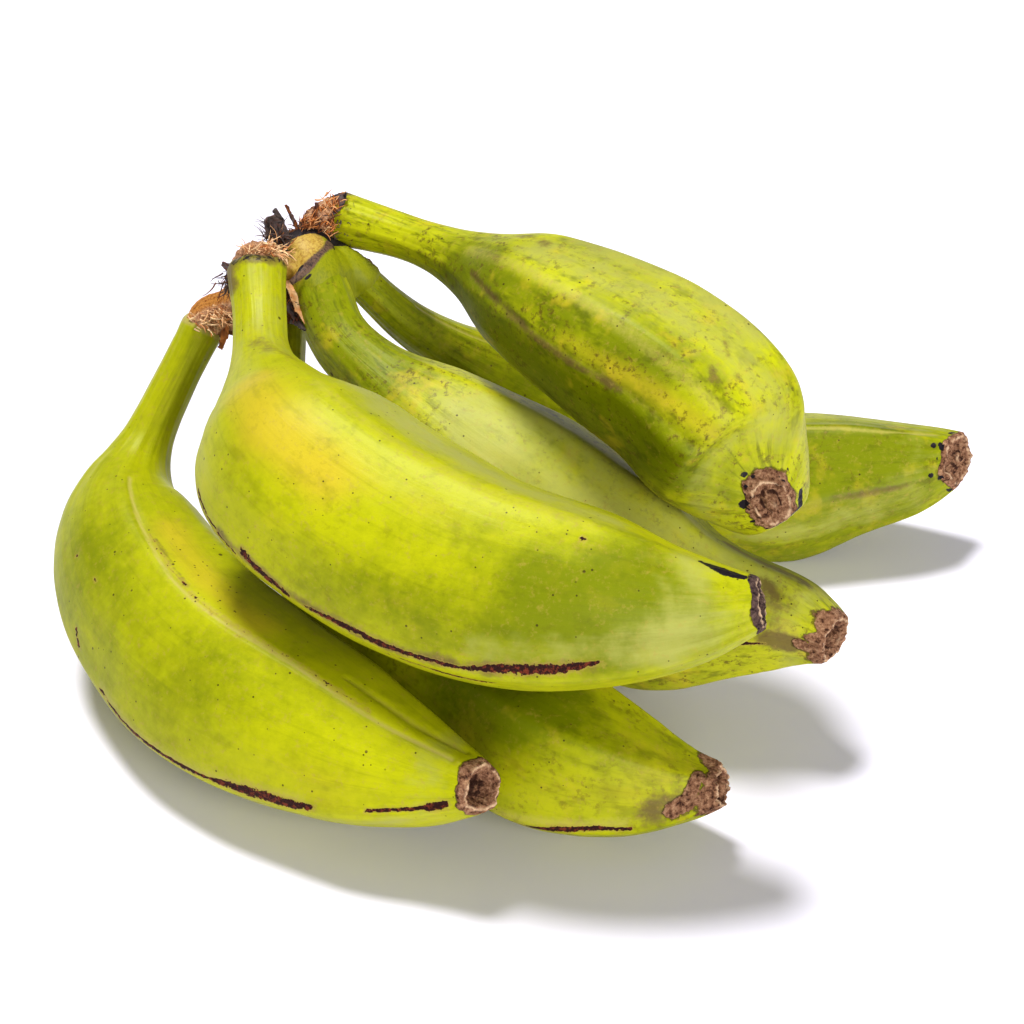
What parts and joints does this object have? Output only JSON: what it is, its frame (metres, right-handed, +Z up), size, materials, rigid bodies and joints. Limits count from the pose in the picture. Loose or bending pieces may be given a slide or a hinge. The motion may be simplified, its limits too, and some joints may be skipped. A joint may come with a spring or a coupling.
{
  "type": "hand of cooking bananas",
  "caption": "Hand of squat, angular green cooking bananas still joined at a torn, dried crown, lying on its side.",
  "frame": {"origin": "centre of the hand's box, on the floor that the hand lies on", "axes": "+X along the hand's length from the crown's side towards the blossom ends, +Y from the viewer's side to the far side, +Z up"},
  "size_m": [0.2031, 0.1493, 0.0969],
  "materials": {
    "crown": "dry torn fibres",
    "finger_left": "satin green peel",
    "finger_front_top": "satin green peel",
    "finger_front_low": "satin green peel",
    "finger_middle": "satin green peel",
    "finger_back_top": "satin green peel",
    "finger_back": "satin green peel"
  },
  "bodies": {
    "root": {"crown": "crown", "finger_left": "finger_left", "finger_front_top": "finger_front_top", "finger_front_low": "finger_front_low", "finger_middle": "finger_middle", "finger_back_top": "finger_back_top", "finger_back": "finger_back"}
  },
  "joints": []
}
